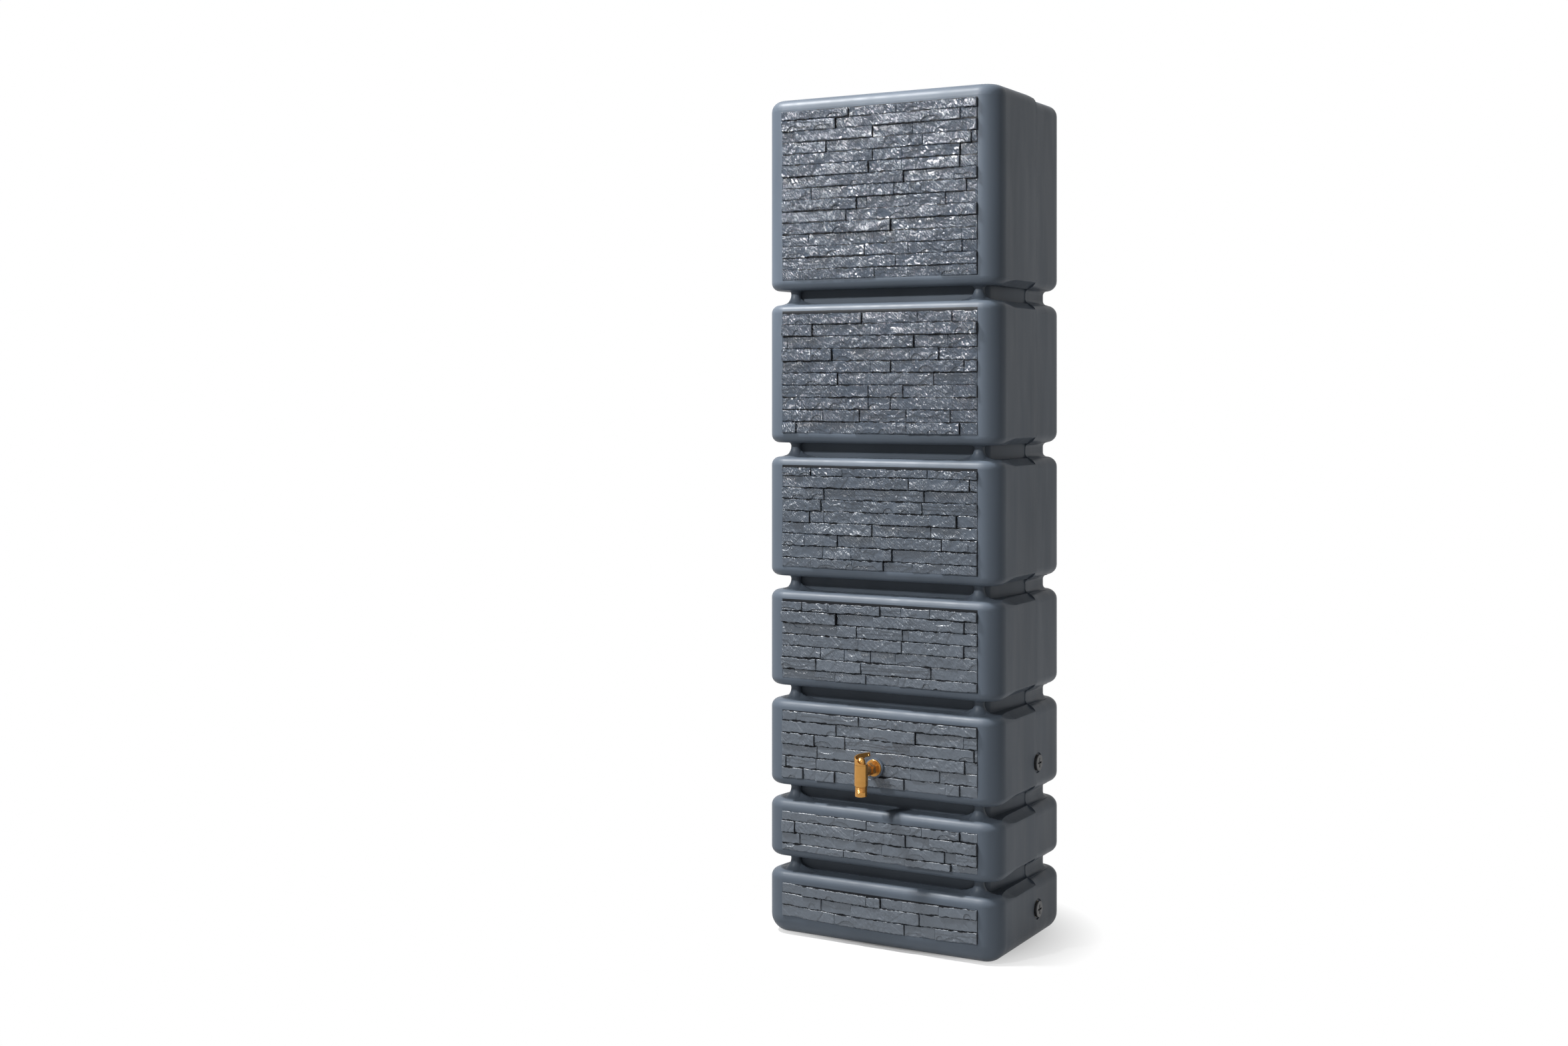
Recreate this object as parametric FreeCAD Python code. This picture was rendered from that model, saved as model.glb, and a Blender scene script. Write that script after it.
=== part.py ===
import FreeCAD, Part
import math
import os
import random

os.makedirs("parts", exist_ok=True)
V = FreeCAD.Vector

# Slimline rain-water tank in one blow-moulded piece, with a tap, four screw plugs and a lid.
# Millimetres. The origin is the middle of the tank's foot, the front faces -Y, the top is +Z.

# Tank body: seven stacked tiers with six grooves between them
TIER_HEIGHTS = [140.5, 126.5, 189.0, 211.0, 264.0, 306.0, 424.0]
GROOVE_HEIGHT = 32.0
TANK_WIDTH = 562.0
TANK_DEPTH = 372.0
WALL = 4.0
CORNER_R = 45.0
FRONT_EDGE_R = 18.0
REAR_EDGE_R = 23.0
FOOT_EDGE_R = 40.0
TOP_EDGE_R = 25.0
PARTING_Y = 28.0
REAR_TOP_DROP = 8.0
REAR_TOP_RAMP = 30.0

# Grooves: the neck's front wall lies deeper than its sides, which taper towards the front
GROOVE_FRONT_DEPTH = 47.0
GROOVE_SIDE_DEPTH = 27.0
GROOVE_REAR_DEPTH = 27.0
NECK_TAPER = 18.0
NECK_FRONT_R = 20.0
NECK_REAR_R = 34.0
NECK_REAR_STEP = 1.0

# Pillar at each front corner of a groove, with its waist near the top and a tall flared foot
PILLAR_R = 11.0
PILLAR_SIDE_INSET = 59.0
PILLAR_FRONT_INSET = 39.0
PILLAR_FLARE_R = 26.0
PILLAR_FLARE_DEG = 60.0
PILLAR_HEAD_R = 9.0
PILLAR_WAIST_RISE = 8.0

# Long flares either side of a pillar: turned forms that are stretched along the front
FOOT_FLARE_WAIST_R = 3.6
FOOT_FLARE_R = 24.0
FOOT_FLARE_DEG = 75.0
INWARD_STRETCH = 2.3
OUTWARD_STRETCH = 1.65

# Scoop along the side lips of each groove: it runs in from the front corner to the parting plane
SCOOP_R = 60.0
SCOOP_WIDTH = 21.0
SCOOP_DROP = 14.0
SCOOP_FRONT_INSET = 100.0
SCOOP_RUN_IN = 80.0
SCOOP_RISE = 9.0

# Stone courses on the front of each tier: a sunk panel with layers of stones of uneven depth.
# Heights of the panels' lower and upper margins, and how far the courses dip in the middle
PANEL_SIDE_MARGIN = 46.0
PANEL_LOWER_MARGINS = [44.0, 17.5, 19.0, 19.0, 22.0, 22.0, 21.5]
PANEL_UPPER_MARGINS = [23.5, 23.0, 22.0, 22.5, 22.0, 21.0, 30.0]
PANEL_SAGS = [5.0, 1.0, 0.0, 0.0, 0.0, 0.0, 0.0]
PANEL_SAG_STEPS = 8
PANEL_RECESS = 1.2
STONE_GAP = 0.9
STONE_LEAN = 0.5
STONE_TURN = 0.4
STONE_SEED = 11

# The stones, measured: for each tier from the foot up, and in it for each course from the bottom up,
# the course's height and each stone's right end and how far it stands out of the panel's floor
STONES_HALF_WIDTH = 235.0
STONE_COURSES = [
    [(24.5, [(-103, 2.6), (65, 3.8), (138, 1.3), (235, 3.8)]),
     (26.5, [(-137, 3.2), (-63, 1.9), (101, 4.2), (235, 2.6)]),
     (22.0, [(-185, 1.6), (-25, 4.8), (8, 5.1), (60, 1.3), (147, 2.9), (235, 4.2)])],
    [(16.0, [(-82, 2.9), (69, 1.6), (175, 5.1), (235, 1.3)]),
     (24.0, [(-190, 3.2), (12, 1.6), (160, 3.5), (187, 1.3), (235, 4.5)]),
     (25.5, [(-202, 5.1), (-55, 2.9), (68, 4.2), (125, 1.6), (235, 4.8)]),
     (20.5, [(-26, 2.9), (30, 1.9), (81, 2.6), (108, 4.5), (195, 4.8), (235, 1.3)])],
    [(24.0, [(-182, 4.2), (-150, 1.6), (-103, 4.8), (-52, 1.6),
             (65, 4.2), (163, 2.2), (195, 4.2), (235, 1.3)]),
     (25.5, [(-225, 3.8), (-150, 2.2), (50, 1.6), (82, 2.6), (149, 3.8), (235, 2.6)]),
     (26.0, [(-147, 2.6), (-5, 1.6), (78, 2.2), (207, 4.5), (235, 2.6)]),
     (25.5, [(-153, 5.4), (-78, 3.5), (79, 1.6), (228, 4.2), (235, 1.6)]),
     (26.0, [(-100, 3.8), (-20, 1.6), (35, 2.6), (92, 5.4), (204, 1.9), (235, 3.2)]),
     (21.0, [(-187, 1.3), (-45, 4.2), (35, 1.3), (63, 2.2), (235, 4.5)])],
    [(21.0, [(-153, 1.0), (-102, 3.5), (-27, 3.2), (53, 1.9), (235, 4.2)]),
     (25.5, [(-148, 5.8), (-38, 4.5), (128, 3.5), (190, 1.3), (235, 2.2)]),
     (25.5, [(-138, 3.5), (-80, 2.6), (-16, 1.6), (44, 1.0), (235, 2.6)]),
     (26.0, [(-44, 2.9), (60, 4.8), (204, 3.5), (235, 1.0)]),
     (25.5, [(-98, 2.6), (-49, 3.8), (61, 2.6), (76, 1.6), (235, 3.2)]),
     (25.5, [(-99, 6.7), (-8, 1.0), (205, 3.8), (235, 1.6)]),
     (20.5, [(-184, 4.2), (-118, 3.8), (7, 4.5), (57, 1.3), (125, 2.6), (171, 1.9), (235, 4.8)])],
    [(21.0, [(-162, 2.2), (-60, 3.5), (15, 3.8), (84, 1.0), (152, 1.9), (235, 3.8)]),
     (27.0, [(-132, 2.6), (-62, 2.9), (36, 4.5), (130, 1.0), (235, 4.2)]),
     (26.0, [(-178, 3.5), (-97, 4.2), (10, 1.3), (153, 4.5), (215, 2.6), (235, 3.8)]),
     (25.5, [(-180, 1.3), (-12, 4.2), (52, 2.2), (128, 2.9), (235, 1.9)]),
     (25.5, [(-210, 2.2), (-165, 4.5), (-130, 2.9), (5, 2.6), (188, 4.8), (235, 1.6)]),
     (25.5, [(-215, 1.9), (-137, 4.2), (-33, 1.6), (108, 3.8), (235, 3.2)]),
     (25.5, [(-130, 3.5), (-52, 1.3), (112, 3.8), (235, 1.3)]),
     (25.5, [(-180, 1.6), (77, 5.4), (217, 4.5), (235, 1.0)]),
     (18.5, [(-163, 4.2), (-85, 1.6), (-2, 2.2), (120, 3.2), (158, 2.6), (235, 4.2)])],
    [(25.5, [(-200, 3.5), (-55, 1.3), (72, 3.8), (195, 5.1), (235, 1.9)]),
     (26.5, [(-210, 2.6), (-130, 4.5), (-42, 4.8), (-20, 2.6), (70, 3.8), (173, 2.9), (235, 1.3)]),
     (26.5, [(-200, 2.6), (-20, 3.8), (32, 3.5), (235, 1.6)]),
     (27.0, [(-112, 3.8), (-20, 5.1), (62, 3.8), (180, 1.6), (235, 3.5)]),
     (27.0, [(-96, 4.5), (-15, 1.6), (134, 3.2), (235, 1.0)]),
     (26.0, [(-183, 1.6), (-15, 3.2), (33, 3.8), (92, 1.3), (206, 5.1), (235, 3.5)]),
     (27.0, [(-110, 5.1), (-20, 1.3), (78, 3.2), (147, 3.8), (235, 1.3)]),
     (27.5, [(-222, 1.3), (-68, 1.6), (88, 4.8), (167, 1.3), (235, 2.9)]),
     (26.0, [(-158, 5.4), (-15, 2.6), (120, 3.5), (235, 5.1)]),
     (24.0, [(-165, 3.8), (-37, 4.5), (60, 1.6), (97, 3.2), (177, 2.6), (235, 1.3)])],
    [(23.0, [(-205, 1.6), (-7, 2.6), (150, 1.1), (235, 3.5)]),
     (26.0, [(-103, 1.1), (45, 3.2), (120, 2.9), (235, 4.5)]),
     (25.0, [(-178, 3.2), (-30, 4.2), (75, 3.2), (200, 2.9), (235, 1.3)]),
     (26.5, [(-168, 1.3), (-91, 1.9), (45, 2.2), (200, 3.5), (235, 3.8)]),
     (25.0, [(-130, 3.8), (33, 4.8), (140, 1.0), (235, 2.9)]),
     (25.5, [(-76, 3.8), (0, 1.6), (65, 2.9), (235, 4.5)]),
     (25.5, [(-50, 4.5), (-25, 1.1), (44, 1.3), (162, 2.9), (235, 1.4)]),
     (26.0, [(-162, 3.2), (-72, 1.6), (42, 4.5), (211, 3.8), (235, 1.3)]),
     (25.0, [(-212, 1.1), (-150, 2.2), (64, 4.2), (183, 1.6), (235, 4.5)]),
     (25.5, [(-20, 5.1), (60, 2.6), (195, 4.2), (235, 1.3)]),
     (25.0, [(-115, 3.2), (-10, 4.2), (61, 2.9), (196, 4.2), (235, 1.0)]),
     (25.5, [(-203, 2.2), (-125, 2.9), (-20, 1.1), (110, 3.8), (222, 4.5), (235, 2.6)]),
     (25.0, [(-203, 1.3), (-10, 4.2), (85, 1.9), (211, 2.6), (235, 4.5)]),
     (24.0, [(-101, 4.8), (-12, 1.0), (197, 4.5), (235, 2.9)]),
     (20.0, [(-69, 5.1), (46, 2.6), (205, 2.9), (235, 5.1)])],
]

# Side plugs and the threaded bushes moulded into the wall for them
PLUG_Y = 36.0
UPPER_PLUG_Z = 393.0
LOWER_PLUG_Z = 73.0
PLUG_RECESS_R = 22.5
PLUG_RECESS_DEPTH = 2.5
PLUG_HEAD_R = 17.5
PLUG_HEAD_HEIGHT = 5.0
PLUG_EDGE_R = 1.2
PLUG_SHANK_LENGTH = 14.0
PLUG_CROSS_LENGTH = 21.0
PLUG_CROSS_WIDTH = 3.6
PLUG_CROSS_DEPTH = 3.0
PIPE_THREAD_R = 13.22
THREAD_CLEARANCE = 0.08
SEAL_THICKNESS = 2.0
BUSH_R = 17.0
BUSH_FIT = 0.05
BUSH_LENGTH = 18.0
BOSS_WALL = 5.0

# Tap: set a little to the left of the middle
TAP_X = -5.0
TAP_Z = 393.0
TAP_REACH = 67.0
TAP_PAD_HEIGHT = 5.0
TAP_WASHER_R = 20.5
TAP_FLANGE_R = 18.0
TAP_FLANGE_THICKNESS = 4.0
TAP_HEX_FLATS = 24.0
TAP_HEX_LENGTH = 20.0
TAP_COLLAR_R = 12.0
TAP_COLLAR_LENGTH = 3.0
TAP_STEM_R = 9.5
TAP_BORE_R = 5.5
TAP_TAIL_LENGTH = 16.0
BARREL_R = 14.65
BARREL_TOP = 16.5
BARREL_BOTTOM = -28.2
SPOUT_LENGTH = 22.3
SPOUT_ROOT_R = 12.4
SPOUT_RINGS = 4
SPOUT_RING_PITCH = 2.6
SPOUT_BORE_R = 10.4
VALVE_R = 9.0
VALVE_RUNNING_FIT = 0.06
VALVE_STEP = 5.0
VALVE_LIP_R = 9.8
BODY_GAP = 0.3

# Valve plug and lever
VALVE_DISC_R = 14.0
VALVE_DISC_THICKNESS = 2.0
DOME_R = 9.0
DOME_TOP = 32.6
ORING_SECTION_R = 0.62
ORING_GROOVE_DEPTH = 1.35
ORING_GROOVE_WIDTH = 1.6
ORING_HEIGHTS = [10.0, -14.0]
LEVER_WALL = 2.6
LEVER_FRONT_DEG = -50.0
LEVER_LEAVE_DEG = 160.0
LEVER_WING_LENGTH = 38.0
LEVER_FRONT_RISE = 9.0
LEVER_MIDDLE_RISE = 15.5
LEVER_FRONT_CUT_R = 10.0
LEVER_REAR_RISE = 18.5
LEVER_WING_DEPTH = 9.0
LEVER_HOLE_R = 1.8

# Filling opening and its screw lid, sunk in a round well so that the lid hardly stands out of the top
WELL_R = 112.0
WELL_DEPTH = 20.0
OPENING_R = 80.0
COLLAR_WALL = 6.0
COLLAR_HEIGHT = 20.0
LID_CLEARANCE = 1.0
LID_WALL = 3.0
LID_SKIRT = 18.0
LID_EDGE_R = 3.0
LID_RIBS = 24
LID_RIB_R = 3.0
LID_GRIP_LENGTH = 120.0
LID_GRIP_WIDTH = 16.0
LID_GRIP_HEIGHT = 10.0
LID_SEAL_THICKNESS = 2.5

# Blind hole for a wall strap, on each side in the neck between the fourth and fifth tiers
STRAP_HOLE_R = 3.2
STRAP_HOLE_DEPTH = 10.0
STRAP_GROOVE = 4

TIER_COUNT = len(TIER_HEIGHTS)
TIER_BOTTOMS = [sum(TIER_HEIGHTS[:i]) + i * GROOVE_HEIGHT for i in range(TIER_COUNT)]
TIER_TOPS = [bottom + height for bottom, height in zip(TIER_BOTTOMS, TIER_HEIGHTS)]
TANK_TOP = TIER_TOPS[-1]
WELL_FLOOR_Z = TANK_TOP - WELL_DEPTH
FRONT_Y = -TANK_DEPTH / 2
REAR_Y = TANK_DEPTH / 2
SIDE_X = TANK_WIDTH / 2
FAR = 2 * (TANK_WIDTH + TANK_DEPTH)
OVERLAP = 1.0


def box(x0, x1, y0, y1, z0, z1):
    return Part.makeBox(x1 - x0, y1 - y0, z1 - z0, V(x0, y0, z0))


def edges_at_height(shape, z):
    return [e for e in shape.Edges if all(abs(v.Z - z) < 0.001 for v in e.Vertexes)]


def upright_edges(shape, x_min=-FAR, y_min=-FAR, y_max=FAR):
    chosen = []
    for edge in shape.Edges:
        if len(edge.Vertexes) < 2:
            continue
        first, last = edge.Vertexes[0].Point, edge.Vertexes[-1].Point
        upright = abs(first.x - last.x) < 0.001 and abs(first.y - last.y) < 0.001
        if upright and x_min < first.x and y_min < first.y < y_max:
            chosen.append(edge)
    return chosen


def extrude(points, direction):
    return Part.Face(Part.makePolygon(points + points[:1])).extrude(direction)


def revolve(profile, position):
    """Turns a closed (radius, height) outline about an upright axis through position."""
    face = Part.Face(Part.makePolygon([V(r, 0, z) for r, z in profile + profile[:1]]))
    solid = face.revolve(V(0, 0, 0), V(0, 0, 1), 360)
    solid.translate(position)
    return solid


def along_x(shape, side):
    """Lays a shape that was built along +Z so that it points out of one side of the tank."""
    shape.rotate(V(0, 0, 0), V(0, 1, 0), 90 * side)
    return shape


def place_on_side(shape, side, z):
    """Height 0 of the shape as built becomes the middle plane of the tank."""
    along_x(shape, side).translate(V(0, PLUG_Y, z))
    return shape


def place_on_front(shape):
    """Lays a shape that was built along +Z so that it points out of the front at the tap."""
    shape.rotate(V(0, 0, 0), V(1, 0, 0), 90)
    shape.translate(V(TAP_X, 0, TAP_Z))
    return shape


# Tank body

def rounded_block(inset, bottom, top, bottom_r, top_r):
    x = SIDE_X - inset
    y = REAR_Y - inset
    block = box(-x, x, -y, y, bottom + inset, top - inset)
    block = block.makeFillet(CORNER_R - inset, upright_edges(block))
    block = block.makeFillet(top_r - inset, edges_at_height(block, top - inset))
    return block.makeFillet(bottom_r - inset, edges_at_height(block, bottom + inset))


def scoop(inset, side, height, direction):
    """Rod that hollows a lip at full depth behind a bend, and rises out of it towards the front."""
    chord = math.hypot(SCOOP_WIDTH, SCOOP_DROP)
    reach = math.sqrt(SCOOP_R ** 2 - (chord / 2) ** 2)
    outward = V(side * SCOOP_DROP / chord, 0, direction * SCOOP_WIDTH / chord)
    middle_of_chord = V(side * (SIDE_X - SCOOP_WIDTH / 2), FRONT_Y + SCOOP_FRONT_INSET,
                        height - direction * SCOOP_DROP / 2)
    bend = middle_of_chord + outward * reach
    r = SCOOP_R + inset
    level = Part.makeCylinder(r, PARTING_Y + inset - bend.y, bend, V(0, 1, 0))
    run_in = V(0, -SCOOP_RUN_IN, 0) + outward * SCOOP_RISE
    rising = Part.makeCylinder(r, run_in.Length, bend, run_in)
    return level.multiFuse([rising, Part.makeSphere(r, bend)])


def tier(inset, index):
    bottom = TIER_BOTTOMS[index]
    top = TIER_TOPS[index]
    lowest = index == 0
    highest = index == TIER_COUNT - 1
    bottom_r = FOOT_EDGE_R if lowest else FRONT_EDGE_R
    top_r = TOP_EDGE_R if highest else FRONT_EDGE_R
    front = rounded_block(inset, bottom, top, bottom_r, top_r)
    front = front.common(box(-FAR, FAR, -FAR, PARTING_Y, -FAR, FAR))
    bottom_r = FOOT_EDGE_R if lowest else REAR_EDGE_R
    top_r = TOP_EDGE_R if highest else REAR_EDGE_R
    drop = REAR_TOP_DROP if highest else 0.0
    rear = rounded_block(inset, bottom, top - drop, bottom_r, top_r)
    rear = rear.common(box(-FAR, FAR, PARTING_Y, FAR, -FAR, FAR))
    if highest:
        ramp = [(PARTING_Y - REAR_TOP_RAMP, top - inset), (PARTING_Y + OVERLAP, top - inset + OVERLAP),
                (PARTING_Y + OVERLAP, top - inset - drop), (PARTING_Y, top - inset - drop)]
        front = front.cut(extrude([V(-FAR / 2, y, z) for y, z in ramp], V(FAR, 0, 0)))
    whole = front.fuse(rear)
    for side in (-1, 1):
        if not highest:
            whole = whole.cut(scoop(inset, side, top, 1))
        if not lowest:
            whole = whole.cut(scoop(inset, side, bottom, -1))
    return whole


def neck(inset, groove):
    """Wall between two tiers: a front part that tapers and a rear part that is set out a little."""
    bottom = TIER_TOPS[groove] - inset - OVERLAP
    height = GROOVE_HEIGHT + 2 * (inset + OVERLAP)
    front_y = FRONT_Y + GROOVE_FRONT_DEPTH + inset
    rear_y = REAR_Y - GROOVE_REAR_DEPTH - inset
    x = SIDE_X - GROOVE_SIDE_DEPTH - inset
    plan = [(-x + NECK_TAPER, front_y), (x - NECK_TAPER, front_y), (x, PARTING_Y), (-x, PARTING_Y)]
    front = extrude([V(px, py, bottom) for px, py in plan], V(0, 0, height))
    front = front.makeFillet(NECK_FRONT_R - inset, upright_edges(front, y_max=front_y + 1))
    rear_x = x + NECK_REAR_STEP
    rear = box(-rear_x, rear_x, PARTING_Y, rear_y, bottom, bottom + height)
    rear = rear.makeFillet(NECK_REAR_R - inset, upright_edges(rear, y_min=rear_y - 1))
    return front.fuse(rear)


def flare_points(waist_r, flare_r, flare_deg, direction):
    """Middle and end of the arc that leaves the waist up (1) or down (-1), and the radius it comes to."""
    arc = []
    for turn in (math.radians(flare_deg / 2), math.radians(flare_deg)):
        rise = PILLAR_WAIST_RISE + direction * flare_r * math.sin(turn)
        arc.append(V(waist_r + flare_r * (1 - math.cos(turn)), 0, rise))
    left_over = GROOVE_HEIGHT / 2 - direction * arc[1].z
    return arc[0], arc[1], arc[1].x + left_over * math.tan(math.radians(flare_deg))


def waisted_profile(waist_r, flare_r, flare_deg, reach):
    """Half section as high as a groove: a wide arc below the waist, a small one above, and short cones."""
    half = GROOVE_HEIGHT / 2
    waist = V(waist_r, 0, PILLAR_WAIST_RISE)
    low_middle, low_end, foot_r = flare_points(waist_r, flare_r, flare_deg, -1)
    high_middle, high_end, head_r = flare_points(waist_r, PILLAR_HEAD_R, PILLAR_FLARE_DEG, 1)
    lower = [V(0, 0, -reach), V(foot_r, 0, -reach), V(foot_r, 0, -half), low_end]
    upper = [high_end, V(head_r, 0, half), V(head_r, 0, reach), V(0, 0, reach)]
    arcs = [Part.Arc(low_end, low_middle, waist).toShape(), Part.Arc(waist, high_middle, high_end).toShape()]
    return Part.Face(Part.Wire([*Part.makePolygon(lower).Edges, *arcs, *Part.makePolygon(upper).Edges,
                                Part.makeLine(upper[-1], lower[0])]))


def pillar_place(groove, side):
    middle = TIER_TOPS[groove] + GROOVE_HEIGHT / 2
    return V(side * (SIDE_X - PILLAR_SIDE_INSET), FRONT_Y + PILLAR_FRONT_INSET, middle)


def pillar(inset, groove, side):
    reach = GROOVE_HEIGHT / 2 + inset + OVERLAP
    profile = waisted_profile(PILLAR_R - inset, PILLAR_FLARE_R, PILLAR_FLARE_DEG, reach)
    column = profile.revolve(V(0, 0, 0), V(0, 0, 1), 360)
    column.translate(pillar_place(groove, side))
    return column


def foot_flare(groove, side, direction):
    """Half turn that faces along the front, outwards (1) or inwards (-1) of its pillar."""
    profile = waisted_profile(FOOT_FLARE_WAIST_R, FOOT_FLARE_R, FOOT_FLARE_DEG, GROOVE_HEIGHT / 2 + OVERLAP)
    profile.rotate(V(0, 0, 0), V(0, 0, 1), -90 * side * direction)
    half = profile.revolve(V(0, 0, 0), V(0, 0, 1), 180)
    stretch = FreeCAD.Matrix()
    stretch.A11 = OUTWARD_STRETCH if direction == 1 else INWARD_STRETCH
    half = half.transformGeometry(stretch)
    half.translate(pillar_place(groove, side))
    return half


def envelope(inset):
    """The tank's outer form, or its hollow where inset is the wall."""
    pieces = [tier(inset, index) for index in range(TIER_COUNT)]
    for groove in range(TIER_COUNT - 1):
        pieces.append(neck(inset, groove))
        pieces += [pillar(inset, groove, side) for side in (-1, 1)]
    return pieces[0].multiFuse(pieces[1:])


def plug_places():
    heights = {"upper": UPPER_PLUG_Z, "lower": LOWER_PLUG_Z}
    for side_name, side in (("left", -1), ("right", 1)):
        for height_name, z in heights.items():
            yield f"{side_name}_{height_name}", side, z


def panel_edges(index):
    lower = TIER_BOTTOMS[index] + PANEL_LOWER_MARGINS[index]
    upper = TIER_TOPS[index] - PANEL_UPPER_MARGINS[index]
    return lower, upper, SIDE_X - PANEL_SIDE_MARGIN


def sag(index, x):
    """How far the courses of a tier lie below their height at the panel's ends."""
    share = x / (SIDE_X - PANEL_SIDE_MARGIN)
    return PANEL_SAGS[index] * (1 - share ** 2)


def panel_recess(index):
    lower, upper, right = panel_edges(index)
    places = [right * (2 * step / PANEL_SAG_STEPS - 1) for step in range(PANEL_SAG_STEPS + 1)]
    outline = [V(x, FRONT_Y - OVERLAP, lower - sag(index, x)) for x in places]
    outline += [V(x, FRONT_Y - OVERLAP, upper - sag(index, x)) for x in reversed(places)]
    return extrude(outline, V(0, OVERLAP + PANEL_RECESS, 0))


def stone(index, start, end, bottom, top, out, rng):
    """One stone, rooted in the panel's floor, whose face leans and turns a little to the light."""
    lean = rng.uniform(-STONE_LEAN, STONE_LEAN)
    turn = rng.uniform(-STONE_TURN, STONE_TURN)
    floor = FRONT_Y + PANEL_RECESS
    low = bottom - sag(index, start)
    high = top - sag(index, start)
    rise = sag(index, start) - sag(index, end)
    side_view = [(floor + OVERLAP, low), (floor - out + lean, low), (floor - out - lean, high),
                 (floor + OVERLAP, high)]
    return extrude([V(start, y, z) for y, z in side_view], V(end - start, turn, rise))


def panel_stones(index):
    """Courses from bottom to top, each filled with stones from left to right."""
    rng = random.Random(STONE_SEED + index)
    lower, upper, right = panel_edges(index)
    courses = STONE_COURSES[index]
    stretch = (upper - lower) / sum(height for height, _ in courses)
    stones = []
    bottom = lower
    for height, ends in courses:
        top = bottom + height * stretch
        start = -right
        for end, out in ends:
            end *= right / STONES_HALF_WIDTH
            stones.append(stone(index, start + STONE_GAP / 2, end - STONE_GAP / 2,
                                bottom + STONE_GAP / 2, top - STONE_GAP / 2, out, rng))
            start = end
        bottom = top
    return stones


def filling_well():
    """Sunk floor and wall of the well, which end at the roof and its step, and the threaded collar."""
    bottom = WELL_FLOOR_Z - WALL
    step_z = TANK_TOP - REAR_TOP_DROP
    roof = [(-FAR, bottom), (-FAR, TANK_TOP), (PARTING_Y - REAR_TOP_RAMP, TANK_TOP), (PARTING_Y, step_z),
            (FAR, step_z), (FAR, bottom)]
    under_roof = extrude([V(-FAR / 2, y, z) for y, z in roof], V(FAR, 0, 0))
    well = Part.makeCylinder(WELL_R + WALL, TANK_TOP - bottom, V(0, 0, bottom)).common(under_roof)
    collar = Part.makeCylinder(OPENING_R + COLLAR_WALL, COLLAR_HEIGHT + WALL, V(0, 0, bottom))
    return [well.cut(well_hollow()), collar]


def well_hollow():
    return Part.makeCylinder(WELL_R, 2 * WELL_DEPTH, V(0, 0, WELL_FLOOR_Z))


def bush_seat(seat):
    """Boss behind the wall, with a bore for the bush and a port for the thread behind it."""
    end = seat - BUSH_LENGTH
    boss = Part.makeCylinder(BUSH_R + BOSS_WALL, BUSH_LENGTH + WALL, V(0, 0, end - WALL))
    bore = Part.makeCylinder(BUSH_R + BUSH_FIT, BUSH_LENGTH + WALL, V(0, 0, end))
    port = Part.makeCylinder(PIPE_THREAD_R + THREAD_CLEARANCE, BUSH_LENGTH, V(0, 0, end - WALL - OVERLAP))
    return boss, bore, port


def strap_hole(side):
    face = SIDE_X - GROOVE_SIDE_DEPTH + NECK_REAR_STEP
    z = TIER_TOPS[STRAP_GROOVE - 1] + GROOVE_HEIGHT - 2 * STRAP_HOLE_R
    floor = face - STRAP_HOLE_DEPTH
    boss = Part.makeCylinder(2 * STRAP_HOLE_R, STRAP_HOLE_DEPTH + WALL, V(0, 0, floor - WALL))
    hole = Part.makeCylinder(STRAP_HOLE_R, STRAP_HOLE_DEPTH + OVERLAP, V(0, 0, floor))
    for shape in (boss, hole):
        along_x(shape, side).translate(V(0, PARTING_Y + STRAP_HOLE_R, z))
    return boss, hole


def tank_body():
    outside = envelope(0)
    flares = [foot_flare(groove, side, direction) for groove in range(TIER_COUNT - 1)
              for side in (-1, 1) for direction in (-1, 1)]
    recesses = [panel_recess(index) for index in range(TIER_COUNT)]
    body = outside.multiFuse(flares).cut([envelope(WALL), well_hollow(), *recesses])
    added = filling_well()
    cuts = [Part.makeCylinder(OPENING_R, 4 * COLLAR_HEIGHT, V(0, 0, WELL_FLOOR_Z - 2 * COLLAR_HEIGHT))]
    for index in range(TIER_COUNT):
        added += panel_stones(index)
    for name, side, z in plug_places():
        seat = SIDE_X - PLUG_RECESS_DEPTH
        recess = Part.makeCylinder(PLUG_RECESS_R, PLUG_RECESS_DEPTH + OVERLAP, V(0, 0, seat))
        boss, *bores = [place_on_side(shape, side, z) for shape in (*bush_seat(seat), recess)]
        added.append(boss)
        cuts += bores
    boss, *bores = [place_on_front(shape) for shape in bush_seat(TAP_PAD_HEIGHT - FRONT_Y)]
    added.append(boss)
    cuts += bores
    for side in (-1, 1):
        boss, hole = strap_hole(side)
        added.append(boss)
        cuts.append(hole)
    return body.multiFuse(added).cut(cuts)


# Side plugs, their seals and their bushes

def ring(outer, inner, thickness, base=0.0):
    whole = Part.makeCylinder(outer, thickness, V(0, 0, base))
    return whole.cut(Part.makeCylinder(inner, thickness + 2 * OVERLAP, V(0, 0, base - OVERLAP)))


def screw_plug(seat):
    head_base = seat + SEAL_THICKNESS
    face = head_base + PLUG_HEAD_HEIGHT
    head = Part.makeCylinder(PLUG_HEAD_R, PLUG_HEAD_HEIGHT, V(0, 0, head_base))
    head = head.makeFillet(PLUG_EDGE_R, edges_at_height(head, face))
    plug = head.fuse(Part.makeCylinder(PIPE_THREAD_R, PLUG_SHANK_LENGTH + SEAL_THICKNESS,
                                       V(0, 0, seat - PLUG_SHANK_LENGTH)))
    long_half = PLUG_CROSS_LENGTH / 2
    short_half = PLUG_CROSS_WIDTH / 2
    for half_x, half_y in ((long_half, short_half), (short_half, long_half)):
        plug = plug.cut(box(-half_x, half_x, -half_y, half_y, face - PLUG_CROSS_DEPTH, face + OVERLAP))
    return plug


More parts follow.
